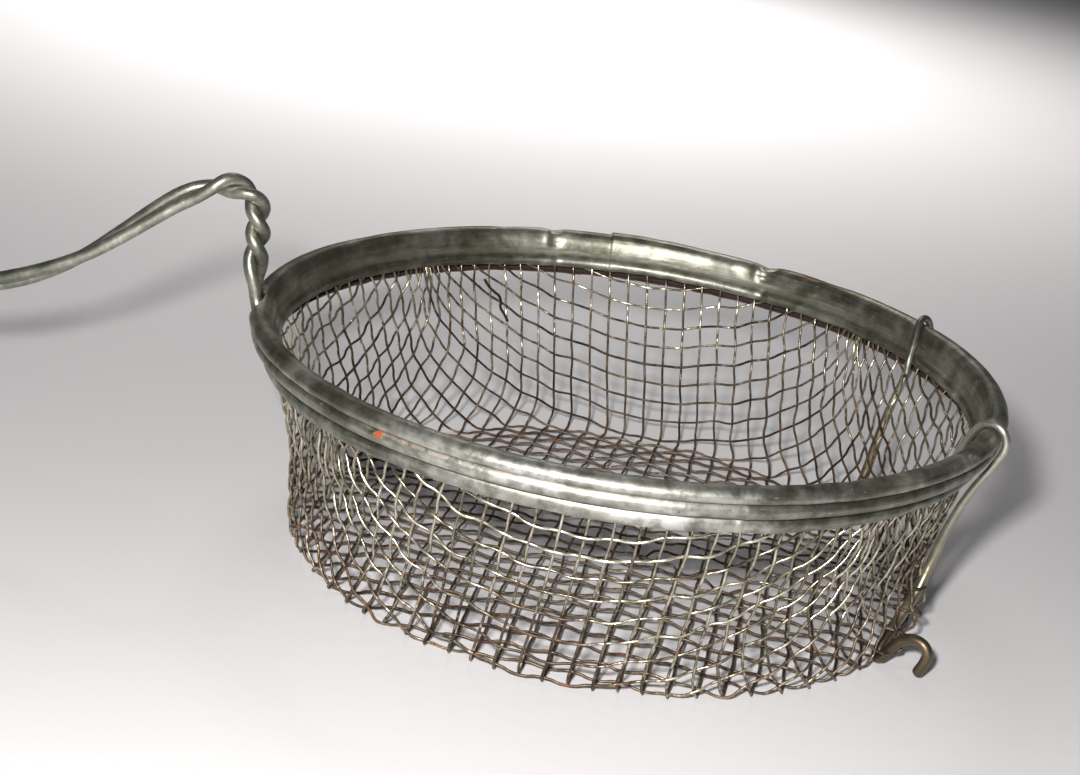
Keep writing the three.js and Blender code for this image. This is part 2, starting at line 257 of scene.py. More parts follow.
def tube(line, radius, sides, normals=None, hint=(0, 0, 1)):
    """Vertices, quads and end faces of a round wire with chamfered ends, and each
    vertex's direction from the wire's middle."""
    radius = np.broadcast_to(np.asarray(radius, float), (len(line),))
    tangents = unit_rows(np.gradient(line, axis=0))
    if normals is None:
        normals = carried_normals(tangents, hint)
    normals = unit_rows(normals - tangents * (normals * tangents).sum(1)[:, None])
    across = np.cross(tangents, normals)
    # one more, smaller ring just outside each end
    line = np.vstack(
        [
            line[0] - tangents[0] * CHAMFER_LENGTH * radius[0],
            line,
            line[-1] + tangents[-1] * CHAMFER_LENGTH * radius[-1],
        ]
    )
    normals, across, radius = with_ends(normals), with_ends(across), with_ends(radius)
    radius[[0, -1]] *= CHAMFER_SIZE
    turn = (np.arange(sides) / sides * 2 * math.pi)[:, None]
    ring = normals[:, None] * np.cos(turn) + across[:, None] * np.sin(turn)
    verts = line[:, None] + ring * radius[:, None, None]
    ends = [np.arange(sides)[::-1], np.arange(sides) + (len(line) - 1) * sides]
    return verts.reshape(-1, 3), ring_quads(len(line), sides), ends, ring.reshape(-1, 3)


def with_ends(values):
    """Values along a wire with the first and last doubled for the chamfer rings."""
    return np.concatenate([values[:1], values, values[-1:]])


def per_vertex(values, sides):
    return np.repeat(with_ends(values), sides, axis=0)


# ==================================================== 1. the woven wire cloth
# Middle of the cloth as a profile of [radius, height], from the centre out.
FLOOR_Z = CLOTH_D + 0.02 - RAISE
FLOOR_R = 89.9  # outside of the rounded corner
CORNER = 2.2  # its radius
CORNER_ARC = [
    (FLOOR_R - CORNER + CORNER * math.cos(a), FLOOR_Z + CORNER + CORNER * math.sin(a))
    for a in np.radians(np.linspace(-90, -12, 6))
]
WALL = [
    (80.0, FLOOR_Z), (84.0, FLOOR_Z), *CORNER_ARC,
    (90.3, 5.0), (91.6, 14.0), (93.4, 25.5), (97.0, 41.5),
    tuple(RIM_FOOT), tuple(rim(13.0, 0)),
]
PROFILE = np.vstack(
    [
        [[0.0, FLOOR_Z], [40.0, FLOOR_Z], [80.0, FLOOR_Z]],
        catmull(WALL, 500)[1:],
        [rim(60.0, 0)],  # beyond the rim, so that the net can run past it
    ]
)
PROFILE_ARC = arc_length(PROFILE)
CLOTH_END = PROFILE_ARC[-2] - 1.6  # where the cloth's cut edge lies inside the bead


def profile_at(dist):
    """Radius and height at a distance along the profile."""
    radii = np.interp(dist, PROFILE_ARC, PROFILE[:, 0])
    return radii, np.interp(dist, PROFILE_ARC, PROFILE[:, 1])


def profile_slope(dist, reach=0.05):
    r_after, z_after = profile_at(dist + reach)
    r_before, z_before = profile_at(dist - reach)
    return (r_after - r_before) / (2 * reach), (z_after - z_before) / (2 * reach)


def on_pan(dist, angle):
    radius, z = profile_at(dist)
    return cylindrical(radius, angle, z)


def solve_node(first, second, dist, angle):
    """The point of the pan one pitch from both points, near (dist, angle), by
    Newton's method with steps of at most 3 mm."""
    for _ in range(14):
        radius, z = profile_at(dist)
        slope_r, slope_z = profile_slope(dist)
        cos, sin = math.cos(angle), math.sin(angle)
        point = np.array([radius * cos, radius * sin, z])
        by_dist = np.array([slope_r * cos, slope_r * sin, slope_z])
        by_angle = np.array([-radius * sin, radius * cos, 0.0])
        gap_1, gap_2 = point - first, point - second
        miss = np.array([gap_1 @ gap_1 - PITCH**2, gap_2 @ gap_2 - PITCH**2])
        jac = 2 * np.array(
            [[gap_1 @ by_dist, gap_1 @ by_angle], [gap_2 @ by_dist, gap_2 @ by_angle]]
        )
        det = jac[0, 0] * jac[1, 1] - jac[0, 1] * jac[1, 0]
        if abs(det) < 1e-9:
            return None
        step_dist = (miss[0] * jac[1, 1] - miss[1] * jac[0, 1]) / det
        step_angle = (miss[1] * jac[0, 0] - miss[0] * jac[1, 0]) / det
        most = 3.0 / max(radius, 5)
        step_dist = max(-3.0, min(3.0, step_dist))
        step_angle = max(-most, min(most, step_angle))
        dist, angle = dist - step_dist, angle - step_angle
        if abs(step_dist) + abs(step_angle) * radius < 1e-7:
            break
    return dist, angle


def lay_net(n):
    """(distance, angle) of the net's nodes in one quadrant; the pan is symmetric."""
    dists = np.full((n, n), np.nan)
    angles = np.full((n, n), np.nan)
    limit = CLOTH_END + 9.0
    for i in range(n):
        dists[i, 0], angles[i, 0] = i * PITCH, 0.0
        dists[0, i], angles[0, i] = i * PITCH, math.pi / 2
    angles[0, 0] = math.pi / 4
    # each node hangs from the two before it, one diagonal after another
    for total in range(2, 2 * n - 1):
        for i in range(max(1, total - n + 1), min(n, total)):
            j = total - i
            dist_1, dist_2 = dists[i - 1, j], dists[i, j - 1]
            if not (dist_1 <= limit and dist_2 <= limit):  # also when one is missing
                continue
            first = on_pan(dist_1, angles[i - 1, j])
            second = on_pan(dist_2, angles[i, j - 1])
            if np.linalg.norm(first - second) > 1.97 * PITCH:
                continue
            opposite = on_pan(dists[i - 1, j - 1], angles[i - 1, j - 1])
            guess = first + second - opposite
            node = solve_node(
                first,
                second,
                dist_1 + dist_2 - dists[i - 1, j - 1],
                math.atan2(guess[1], guess[0]),
            )
            if node is None or not (0 < node[1] < math.pi / 2) or node[0] < 0:
                continue
            point = on_pan(*node)
            if (
                abs(np.linalg.norm(point - first) - PITCH) > 0.05
                or np.linalg.norm(point - opposite) < 0.4 * PITCH
            ):
                continue
            dists[i, j], angles[i, j] = node
    return dists, angles


def build_net(n):
    """Crossings of the whole cloth as points of a flat plan in which a point's
    distance from the centre is its distance along the pan's profile."""
    dists, angles = lay_net(n)
    steps = np.arange(-n + 1, n)
    quadrant = np.ix_(abs(steps), abs(steps))
    dists, angles = dists[quadrant], angles[quadrant]
    sign = np.sign(steps)
    angles = np.arctan2(sign[None] * np.sin(angles), sign[:, None] * np.cos(angles)) + GRID_TURN
    present = np.isfinite(dists)
    dists = np.where(present, dists, 0)
    angles = np.where(present, angles, 0)
    radius, z = profile_at(dists)
    base = cylindrical(radius, angles, z)
    # Worn cloth: the wires wander a little along the surface.
    drift_out = field3(14, 64.0, RNG)
    drift_round = field3(14, 64.0, RNG)
    below_rim = 1 - smoothstep(CLOTH_END - 18, CLOTH_END - 9, dists)
    jitter = 0.045 + 0.13 * (1 - smoothstep(80, 130, dists))
    move_out = 0.55 * drift_out(base) * below_rim + RNG.normal(size=dists.shape) * jitter
    move_round = 0.55 * drift_round(base) * below_rim + RNG.normal(size=dists.shape) * jitter
    loose = smoothstep(4, 30, dists)
    dists = dists + move_out * loose
    angles = angles + move_round * loose / np.maximum(radius, 20)
    return present, np.stack([dists * np.cos(angles), dists * np.sin(angles)], -1)


DENTS = field3(16, 60.0, RNG)
RIPPLE = field3(16, 26.0, RNG)
# Where the near hook's foot runs behind the cloth: (degrees about the axis, height).
BEHIND = [(-27.0, 19.0), (-28.6, 13.0), (-32.0, 9.0), (-35.5, 5.5), (-38.0, 2.5)]


def surface(plan):
    """Distance, point and outward normal of the cloth's middle at plan points."""
    dist = np.hypot(plan[:, 0], plan[:, 1])
    angle = np.arctan2(plan[:, 1], plan[:, 0]) + WALL_TWIST * np.maximum(dist - 92.0, 0)
    slope_r, slope_z = profile_slope(dist)
    length = np.hypot(slope_r, slope_z)
    cos, sin = np.cos(angle), np.sin(angle)
    points = on_pan(dist, angle)
    normals = cylindrical(slope_z / length, angle, -slope_r / length)
    # the wall is dented and rippled
    below_rim = 1 - smoothstep(CLOTH_END - 18, CLOTH_END - 9, dist)
    wall = smoothstep(92, 106, dist) * below_rim
    points = points + normals * (wall * (0.6 * DENTS(points) + 0.12 * RIPPLE(points)))[:, None]
    # the base corner is a little uneven, too
    edge = bell(dist - 89.0, 7.0)
    uneven = 0.006 * DENTS(points) + 0.003 * RIPPLE(points)
    points[:, :2] *= (1 + edge * uneven)[:, None]
    # the pan has spread towards the front at its foot, most towards the near hook
    low = smoothstep(50, 88, dist) * (1 - smoothstep(94, 112, dist))
    spread = 1.0 * smoothstep(-0.25, 0.35, -sin)
    spread = spread + 1.9 * bell(np.degrees(angle_from(angle, -50)), 30.0)
    points[:, :2] += (low * spread)[:, None] * np.stack([cos, sin], -1)
    # the floor is domed upwards and wavy
    floor = 1 - smoothstep(82, 89, dist)
    dome = 3.3 * (1 - (np.minimum(dist, 86.0) / 86.0) ** 4)
    lift = 0.25 + dome + 0.4 * RIPPLE(points) + 0.45 * DENTS(points)
    points[:, 2] += floor * lift.clip(0, None)
    # the cloth bulges over the foot of the near hook
    degrees, heights = np.array(BEHIND[::-1]).T
    aside = angle_from(angle, np.interp(points[:, 2], heights, degrees)) * 92.0
    hump = bell(aside, 5.2) * smoothstep(0.6, 4.0, points[:, 2])
    hump = hump * (1 - smoothstep(13, 22, points[:, 2]))
    return dist, points + normals * (hump * 4.6)[:, None], normals


NET = 30  # nodes from the centre along each axis of the net
PRESENT, CROSSINGS = build_net(NET)
CRIMP_STEPS = 7  # points from one crossing to the next
CRIMP_SHARPNESS = 1.7
CLOTH_SIDES = 7


def runs_of(mask, at_least):
    """(start, end) of each unbroken run of true values that is long enough."""
    edges = np.flatnonzero(np.diff(np.concatenate([[0], mask.astype(int), [0]])))
    pairs = zip(edges[::2], edges[1::2])
    return [(start, end) for start, end in pairs if end - start >= at_least]


def crimped_wire(plan, parity):
    """(points, normals, distances) of each piece of one crimped wire through a row of
    crossings, cut where it reaches the cloth's edge.  A wire can leave the cloth and
    come back.  parity +1 starts outside its first neighbour."""
    knots = np.vstack([2 * plan[0] - plan[1], plan, 2 * plan[-1] - plan[-2]])
    flat = np.arange(CRIMP_STEPS) / CRIMP_STEPS
    t = flat[:, None]
    swing = np.tanh(CRIMP_SHARPNESS * np.cos(math.pi * flat)) / math.tanh(CRIMP_SHARPNESS)
    rows, offsets = [], []
    for i in range(len(plan) - 1):
        p0, p1, p2, p3 = knots[i : i + 4]
        rows.append(
            0.5
            * (
                2 * p1
                + (p2 - p0) * t
                + (2 * p0 - 5 * p1 + 4 * p2 - p3) * t**2
                + (3 * p1 - p0 - 3 * p2 + p3) * t**3
            )
        )
        offsets.append(parity * (-1) ** i * swing)
    rows.append(plan[-1][None])
    offsets.append(np.array([parity * (-1.0) ** (len(plan) - 1)]))
    dist, points, normals = surface(np.vstack(rows))
    points = points + normals * (np.concatenate(offsets) * CLOTH_D * 0.46)[:, None]
    points[:, 2] = np.maximum(points[:, 2], CLOTH_D / 2 - RAISE)
    return [
        (points[start:end], normals[start:end], dist[start:end])
        for start, end in runs_of(dist <= CLOTH_END, 6)
    ]


def cloth_pieces(present, crossings, first_parity):
    """Mesh pieces of all wires that run one way through the net."""
    pieces = []
    for i, row in enumerate(present):
        for start, end in runs_of(row, 4):
            parity = first_parity * (1 if (i + start) % 2 == 0 else -1)
            for line, normals, dist in crimped_wire(crossings[i, start:end], parity):
                radius = CLOTH_D / 2 * (1 + 0.03 * RNG.normal())
                verts, quads, ends, ring = tube(line, radius, CLOTH_SIDES, normals=normals)
                attributes = {
                    "tone": np.full(len(verts), RNG.uniform()),
                    "outer": (ring * per_vertex(normals, CLOTH_SIDES)).sum(1),
                    "place": per_vertex(dist, CLOTH_SIDES) / CLOTH_END,
                    "arc": per_vertex(arc_length(line), CLOTH_SIDES) * MM,
                }
                pieces.append((verts, quads, ends, attributes))
    return pieces


# A snagged end of wire off the inside of the wall:
# (degrees about the axis, height, distance in from the cloth's middle).
SNAG = [
    (114.6, 48.2, 1.3), (113.6, 46.0, 1.5), (112.4, 44.2, 2.2), (111.6, 43.2, 2.4),
    (111.0, 41.2, 1.9), (110.9, 39.0, 1.5), (110.0, 36.8, 1.5), (109.2, 34.6, 1.3),
]


def snag_piece():
    degrees, heights, inset = np.array(SNAG).T
    wall = PROFILE[5:]
    radius = np.interp(heights, wall[:, 1], wall[:, 0]) - inset
    line = catmull(cylindrical(radius, np.radians(degrees), heights), 60)
    verts, quads, ends, _ = tube(line, 0.47, CLOTH_SIDES)
    count = len(verts)
    attributes = {
        # tone -2.2 paints this wire near black, a painted shade for the shadow it lies in
        "tone": np.full(count, -2.2),
        "outer": np.full(count, -1.0),
        "place": np.full(count, 0.8),
        "arc": np.linspace(0, 15, count) * MM,
    }
    return verts, quads, ends, attributes


warp = joined_object("cloth_warp_wires", cloth_pieces(PRESENT, CROSSINGS, 1))
weft = joined_object(
    "cloth_weft_wires",
    cloth_pieces(PRESENT.T, CROSSINGS.transpose(1, 0, 2), -1) + [snag_piece()],
)

# ============================================================ 2. the rim bands
# Middle lines of the two rolled strips in the rim's section: (up, out).
INNER_MID = catmull(
    [
        (2.9, -1.05), (3.4, -1.6), (4.5, -2.02), (5.7, -1.68), (6.7, -1.08), (7.7, -0.92),
        (9.0, -1.28), (10.8, -1.62), (12.4, -1.5), (13.8, -0.95), (14.75, 0.05), (15.1, 1.4),
        (14.85, 2.75), (14.1, 3.75), (13.1, 4.1), (12.4, 3.75), (12.2, 3.2),
    ],
    58,
)
WRAP_R = WIRE_D / 2 + 0.03 + TIN_T / 2  # of the outer strip over the hoop wire
OUTER_MID = catmull(
    [
        (13.5, 1.5), (12.8, 1.9), (12.0, 2.4),
        *[
            (HOOP_UP + WRAP_R * math.cos(a), HOOP_OUT + WRAP_R * math.sin(a))
            for a in np.radians(np.arange(34, 150, 14.0))
        ],
        (7.05, 2.75), (6.6, 2.05), (6.2, 2.1), (5.7, 2.8), (4.9, 3.4), (3.9, 3.65),
        (2.9, 3.5), (2.0, 2.95), (1.35, 2.2), (0.95, 1.45),
    ],
    72,
)
# how far along the strip the groove under the hoop lies
OUTER_GROOVE = float(np.argmin(np.abs(OUTER_MID[30:, 0] - 6.8)) + 30) / len(OUTER_MID)


def band(name, mid_at, steps):
    """A rolled strip round the rim.  mid_at(angle) gives its middle line there and
    how far along the strip each point lies."""
    rows, values = [], []
    for angle in np.arange(steps) / steps * 2 * math.pi:
        mid, place = mid_at(angle)
        tangents = np.gradient(mid, axis=0)
        tangents /= np.linalg.norm(tangents, axis=1)[:, None]
        half = np.stack([-tangents[:, 1], tangents[:, 0]], -1) * TIN_T / 2
        outline = np.vstack([mid + half, (mid - half)[::-1]])
        radius, z = rim(outline[:, 0], outline[:, 1]).T
        rows.append(cylindrical(radius, angle, z))
        values.append(
            np.column_stack(
                [
                    np.vstack([mid, mid[::-1]]),
                    np.concatenate([place, place[::-1]]),
                    np.repeat([1.0, 0.0], len(mid)),
                ]
            )
        )
    verts = np.vstack(rows)
    quads = ring_quads(steps, len(rows[0]), closed=True)
    attributes = dict(zip(("sec_u", "sec_w", "along", "side"), np.vstack(values).T))
    ob = mesh_object(name, verts, quads, attributes)
    # a negative volume means that the faces look inwards
    a, b, c, d = (verts[quads[:, k]] for k in range(4))
    if (a * (np.cross(b, c) + np.cross(c, d))).sum() < 0:
        ob.data.flip_normals()
    return ob


# Slow and short waves of a rim that has been knocked about.
wave_out = waves(10, 2, 9, RNG)
wave_up = waves(10, 2, 8, RNG)
ripple_inner = waves(26, 14, 60, RNG)
ripple_outer = waves(26, 14, 60, RNG)
ripple_edge = waves(30, 10, 90, RNG)
# Knocks in the bead: place (degrees round from +X), depth, half width (mm).
KNOCKS = [
    (100.4, 0.85, 2.6), (59.6, 1.25, 3.0), (62.4, 0.45, 6.0), (109.5, 0.30, 5.0),
    (81.0, 0.20, 2.5), (47.0, 0.35, 5.0), (24.5, 0.30, 3.0), (281.0, 0.30, 3.0),
    (252.0, 0.20, 8.0), (297.0, 0.32, 5.0), (330.0, 0.30, 7.0), (140.0, 0.25, 9.0),
    (215.0, 0.25, 8.0),
]
# Dents in the outer strip's lower part, in the same columns.
OUTER_DENTS = [(283.0, 0.35, 5.0), (312.0, 0.4, 4.0), (235.0, 0.25, 7.0)]
INNER_LAP, OUTER_LAP = 89.6, 281.5  # degrees where each strip's ends overlap
ROOT = 180.0  # degrees where the handle leaves the rim


def knock(mid, place, angle, where, depth, half):
    """Press one knock into the inner strip's middle line."""
    aside = arc_from(angle, where)
    near = bell(aside, half)
    if near < 0.01:
        return
    # the bead is pushed down and in, and creased across
    top = smoothstep(9.5, 14.0, mid[:, 0])
    mid[:, 0] -= 0.8 * depth * near * top
    mid[:, 1] -= 0.5 * depth * near * top * (place > 0.45)
    # the upper face is pressed outwards, with a short crease through the
    # lower bead as well
    face = smoothstep(7.5, 10.5, mid[:, 0]) * (place < 0.62)
    mid[:, 1] += 0.95 * depth * near * face
    mid[:, 1] -= 0.5 * depth * bell(aside - half, 0.5 * half) * face
    lower = 1 - smoothstep(5.5, 7.5, mid[:, 0])
    mid[:, 1] += 0.45 * depth * bell(aside + 0.3 * half, 0.5 * half) * lower


def inner_mid(angle):
    mid = INNER_MID.copy()
    place = np.linspace(0, 1, len(mid))
    upper = smoothstep(3.0, 9.0, mid[:, 0])
    mid[:, 1] += 0.10 * wave_out(angle) * upper
    mid[:, 1] += 0.07 * ripple_inner(angle) * (0.3 + 0.7 * upper)
    mid[:, 0] += 0.16 * wave_up(angle) * smoothstep(9.0, 15.0, mid[:, 0])
    lip = (1 - smoothstep(2.9, 4.5, mid[:, 0])) * (place < 0.4)
    mid[:, 0] += 0.14 * ripple_edge(angle) * lip
    for where, depth, half in KNOCKS:
        knock(mid, place, angle, where, depth, half)
    # the lap: one end of the strip lies over the other
    before = -arc_from(angle, INNER_LAP)
    over = smoothstep(-0.12, 0.12, before) * (1 - smoothstep(12.0, 40.0, before))
    mid[:, 0] += 0.85 * over * smoothstep(8.0, 14.0, mid[:, 0])
    mid[:, 1] -= 0.48 * over * (place < 0.55)
    mid[:, 1] += 0.42 * over * (place > 0.62)
    # at the root of the handle the bead is pressed flat and open
    press = 1 - smoothstep(4.2, 14.0, abs(arc_from(angle, ROOT)))
    flat = -1.15
    outer = place > 0.5
    opened = 0.52 * press * (place[outer] - 0.5) * 2
    mid[outer, 1] = flat + (mid[outer, 1] - flat) * (1 - 0.86 * press) + opened
    return mid, place


def outer_mid(angle):
    # the strip's upper edge drops below the wire where the strands leave it
    drop = OUTER_GROOVE * (1 - smoothstep(6.0, 18.0, abs(arc_from(angle, ROOT))))
    count = len(OUTER_MID)
    place = np.linspace(drop, 1, count)
    mid = columns_at(place, np.linspace(0, 1, count), OUTER_MID)
    low = 1 - smoothstep(3.4, 6.6, mid[:, 0])
    rib = smoothstep(6.4, 8.0, mid[:, 0])
    mid[:, 1] += 0.05 * wave_out(angle) * rib + 0.05 * ripple_outer(angle) * (0.4 + 0.6 * low)
    mid[:, 1] += 0.22 * wave_up(angle + 1.7) * low
    mid[:, 0] += 0.16 * ripple_edge(angle + 2.1) * (1 - smoothstep(0.9, 3.0, mid[:, 0]))
    # the lower edge sits higher at the front right and lower at the front left
    lift = 1.0 * bell(angle_from(angle, 322.0), 0.5) - 0.7 * bell(angle_from(angle, 215.0), 0.45)
    mid[:, 0] += lift * (1 - smoothstep(0.9, 6.0, mid[:, 0]))
    for where, depth, half in OUTER_DENTS:
        mid[:, 1] -= depth * bell(arc_from(angle, where), half) * low
    # its lap joint
    past = arc_from(angle, OUTER_LAP)
    over = smoothstep(-0.2, 0.2, past) * (1 - smoothstep(8.0, 22.0, past))
    mid[:, 1] += 0.3 * over * (mid[:, 1] > 1.9)
    return mid, place


inner = band("inner_rim_strip", inner_mid, steps=1080)
outer = band("outer_rim_strip", outer_mid, steps=900)

# ================================================= 3. hoop and handle, one wire
# Middle between the handle's two strands: (distance out along -X, height).
HANDLE_PTS = [
    (106.2, 64.0), (106.8, 69.0), (107.0, 75.0), (107.0, 81.0), (107.3, 86.5),
    (108.3, 90.4), (111.2, 93.0), (115.0, 93.7), (119.0, 93.0), (123.5, 91.2),
    (129.5, 87.8), (136.4, 82.6), (144.5, 76.1), (154.6, 68.7), (165.7, 62.7),
    (176.8, 58.6), (190.0, 55.8), (205.0, 54.8), (230.0, 54.6), (291.0, 54.8),
]
PATH = catmull([(-out, 0.0, z) for out, z in HANDLE_PTS], 2400)
PATH_ARC = arc_length(PATH)
PATH_END = PATH_ARC[-1]


def path_place(out, z):
    """Distance along the path of its point nearest to (out, z)."""
    return PATH_ARC[np.argmin(np.hypot(-PATH[:, 0] - out, PATH[:, 2] - z))]


# Turn of the strands about the path: (out, height, degrees), then the free end.
TWIST_KEYS = [
    (105.8, 65.5, 88), (106.7, 73.5, 0), (107.0, 81.3, -180), (107.5, 88.7, -360),
    (110.2, 92.4, -450), (115.5, 93.7, -540), (120.5, 92.6, -630), (127.4, 89.0, -672),
    (143.2, 77.1, -648), (176.8, 58.6, -587), (200, 55.0, -630),
]
TWIST = smooth_keys(
    [(0, 90), *[(path_place(out, z), turn) for out, z, turn in TWIST_KEYS], (PATH_END, -630)]
)
# Each strand's distance from the path: touching, then parted for the loop.
TIGHT = WIRE_D / 2 + 0.02
LOOP_R = 10.0
GAP = smooth_keys(
    [
        (0, TIGHT),
        (path_place(205, 54.8), TIGHT),
        (path_place(234, 54.6), LOOP_R),
        (PATH_END, LOOP_R),
    ]
)


def on_path(dist):
    return columns_at(dist, PATH_ARC, PATH)


def strand(dist, turn):
    """One strand at distances along the path, turned round it by some degrees."""
    dist = np.asarray(dist, float)
    reach = 0.4
    tangents = on_path(dist + reach) - on_path(dist - reach)
    tangents /= np.linalg.norm(tangents, axis=1)[:, None]
    across = np.stack([tangents[:, 2], np.zeros(len(dist)), -tangents[:, 0]], -1)
    angle = np.radians(TWIST(dist) + turn)
    return (
        on_path(dist)
        + across * (GAP(dist) * np.cos(angle))[:, None]
        + np.array([0, 1.0, 0]) * (GAP(dist) * np.sin(angle))[:, None]
    )


def handle_points():
    """The wire from +X round the +Y half of the hoop, out along the handle, round its
    loop, back, and round the -Y half."""
    hoop_r, hoop_z = rim(HOOP_UP, HOOP_OUT)
    half = cylindrical(hoop_r, np.radians(np.arange(0.35, 173.6, 0.75)), hoop_z)
    dist = np.arange(1.2, PATH_END + 0.01, 0.6)
    out = strand(dist, 0)
    turn = catmull(
        [
            half[-3], half[-1],
            (-104.1, 8.3, 58.05), (-104.5, 5.1, 58.6), (-105.0, 3.1, 59.8), (-105.65, 2.1, 61.8),
            strand([0.0], 0)[0], out[0],
        ],
        60,
    )[3:-1]
    mirror = np.array([1, -1, 1.0])
    bend = cylindrical(LOOP_R, np.radians(np.arange(96, 265, 6.0)), 0.0)
    bend += np.array([out[-1][0], 0.0, out[-1][2]])
    back = strand(dist, 180)[::-1]
    half = half[:-2]
    points = np.vstack(
        [half, turn, out, bend, back, (turn * mirror)[::-1], (half * mirror)[::-1]]
    )
    # resample evenly so the surface has no uneven facets
    arc = arc_length(points)
    points = columns_at(np.arange(0, arc[-1], 0.62), arc, points)
    for _ in range(3):
        points[1:-1] = 0.25 * points[:-2] + 0.5 * points[1:-1] + 0.25 * points[2:]
    return points


def handle_wire():
    sides = 20
    line = handle_points()
    arc = arc_length(line)
    wobble = waves(40, 20, 260, RNG)
    radius = WIRE_D / 2 * (1 + 0.008 * wobble(arc / arc[-1] * 2 * math.pi))
    verts, quads, ends, _ = tube(line, radius, sides)
    attributes = {
        "arc": per_vertex(arc, sides) * MM,
        "round": np.tile(np.arange(sides) / sides, len(line) + 2),
    }
    return mesh_object("hoop_and_handle_wire", verts, quads, attributes, ends)


handle = handle_wire()

# ============================================================== 4. the hooks
# Middle of a hook's wire: (radius, height), from the inner leg over the rim and down.
HOOK_TOP = [
    (96.2, 50.6), (96.5, 54.0), (97.6, 57.2), (98.9, 60.1), (100.4, 62.9), (102.35, 64.85),
    (104.8, 65.5), (107.1, 64.5), (108.5, 61.9), (108.5, 59.2), (107.4, 56.2), (106.0, 53.0),
    (104.3, 49.8), (101.7, 44.0), (98.4, 33.5), (96.2, 23.0),
]
HOOK_FOOT = [
    (94.6, 14.5), (93.3, 9.6), (92.5, 5.6), (92.2, 2.4), (92.6, 0.3), (94.0, 0.9), (95.6, 3.6),
    (98.2, 7.2), (101.3, 9.1), (104.5, 8.8), (106.2, 6.9), (106.0, 4.4), (104.6, 0.5),
]
# Turn about the axis at those points, in degrees.  The short inner legs stand
# turned towards each other.
HOOK_TOP_TURN = np.array([4.6, 4.3, 3.7, 3.0, 2.1, 1.1, 0.35] + [0.0] * 9)
NEAR_FOOT_TURN = [-2.0, -5.6, -9.0, -11.6, -12.8, -13.0, -12.7] + [-12.5] * 6
FAR_FOOT_TURN = [0.0] * len(HOOK_FOOT)
# Wire diameter: (part of the length, mm).
HOOK_D = smooth_keys([(0, 2.15), (0.28, 2.25), (0.45, 2.55), (0.66, 3.0), (1, 3.0)])


def hook(name, degrees, seed, foot_turn):
    sides = 18
    rng = np.random.default_rng(seed)
    angle = math.radians(degrees)
    cos, sin = math.cos(angle), math.sin(angle)
    radius, z = np.array(HOOK_TOP + HOOK_FOOT).T
    turn = np.concatenate([-np.sign(degrees) * HOOK_TOP_TURN, foot_turn])
    x, y, z = catmull(cylindrical(radius, np.radians(turn), z), 420).T
    part = np.linspace(0, 1, len(x))
    y = y + 0.3 * waves(6, 1, 4, rng)(part * math.pi)
    line = np.stack([x * cos - y * sin, x * sin + y * cos, z], -1)
    wobble = waves(20, 6, 60, rng)(part * 2 * math.pi)
    verts, quads, ends, _ = tube(
        line, HOOK_D(part) / 2 * (1 + 0.012 * wobble), sides, hint=(-sin, cos, 0)
    )
    arc = per_vertex(arc_length(line), sides)
    return mesh_object(name, verts, quads, {"arc": arc * MM, "foot": arc / arc.max()}, ends)


near_hook = hook("near_hook_wire", -HOOK_ANGLE, seed=11, foot_turn=NEAR_FOOT_TURN)
far_hook = hook("far_hook_wire", HOOK_ANGLE, seed=12, foot_turn=FAR_FOOT_TURN)


